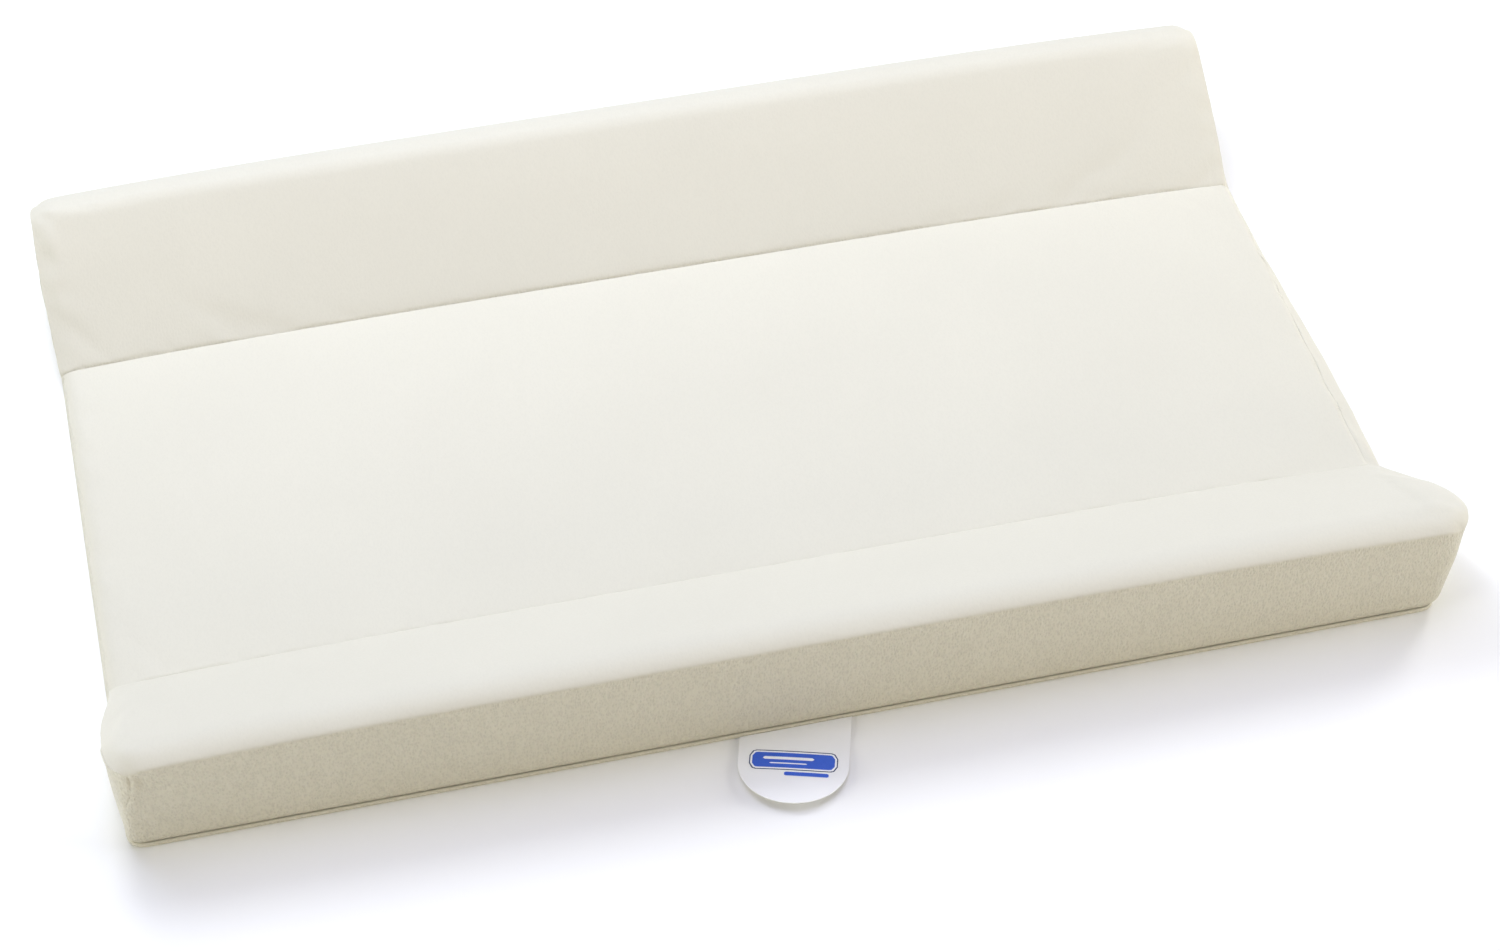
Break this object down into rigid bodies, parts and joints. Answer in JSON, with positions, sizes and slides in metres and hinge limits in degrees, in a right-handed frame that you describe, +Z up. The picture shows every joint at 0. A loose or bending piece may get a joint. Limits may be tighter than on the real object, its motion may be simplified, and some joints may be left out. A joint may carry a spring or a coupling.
{
  "type": "changing pad",
  "caption": "Rectangular changing pad: a flat padded mat between two raised wedge bolsters, in a zipped wipe-clean cover with a card hang tag.",
  "frame": {"origin": "centre of the rectangular base, on the surface that the pad lies on", "axes": "+X along the pad's length, to the right when it is seen from the front; +Y to the rear, where the zip is; +Z up"},
  "size_m": [0.8, 0.5645, 0.074],
  "materials": {
    "cover_fabric": "soft matt coated fabric with a very fine grain, off-white",
    "base_fabric": "plain matt base cloth, off-white",
    "welt_fabric": "folded and stitched edge of the coated fabric",
    "thread": "off-white polyester sewing thread",
    "foam": "open-cell polyurethane foam, pale cream",
    "wadding": "white polyester wadding",
    "hardboard": "smooth brown hardboard",
    "zip_tape": "woven polyester zip tape, off-white",
    "zip_chain": "nylon zip teeth, off-white",
    "zip_metal": "die-cast zip slider, pull and stops, enamelled off-white",
    "tag_card": "white coated card with a plain blue printed panel"
  },
  "bodies": {
    "pad": {"base_board": "hardboard", "foam_slab": "foam", "front_bolster_foam": "foam", "rear_bolster_foam": "foam", "mat_wadding": "wadding", "cover_mat_panel": "cover_fabric", "cover_front_panel": "cover_fabric", "cover_rear_panel": "cover_fabric", "cover_left_panel": "cover_fabric", "cover_right_panel": "cover_fabric", "cover_base_panel": "base_fabric", "base_welt": "welt_fabric", "front_valley_thread": "thread", "rear_valley_thread": "thread", "zip_tape_upper": "zip_tape", "zip_tape_lower": "zip_tape", "zip_chain_upper": "zip_chain", "zip_chain_lower": "zip_chain", "zip_stops": "zip_metal"},
    "zip_slider": {"zip_slider": "zip_metal"},
    "zip_pull": {"zip_pull": "zip_metal"},
    "hang_tag": {"hang_tag": "tag_card"}
  },
  "joints": [
    {"name": "zip_slide", "type": "slide", "parent": "pad", "child": "zip_slider", "axis": [-1, 0, 0], "range_m": [0, 0.604]},
    {"name": "pull_flip", "type": "hinge", "parent": "zip_slider", "child": "zip_pull", "pos_m": [0.302, 0.2525, 0.024], "axis": [0, 0, -1], "range_deg": [0, 175]},
    {"name": "tag_fold", "type": "hinge", "parent": "pad", "child": "hang_tag", "pos_m": [-0.0065, -0.2503, 0.0013], "axis": [-1, 0, 0], "range_deg": [0, 84]}
  ]
}
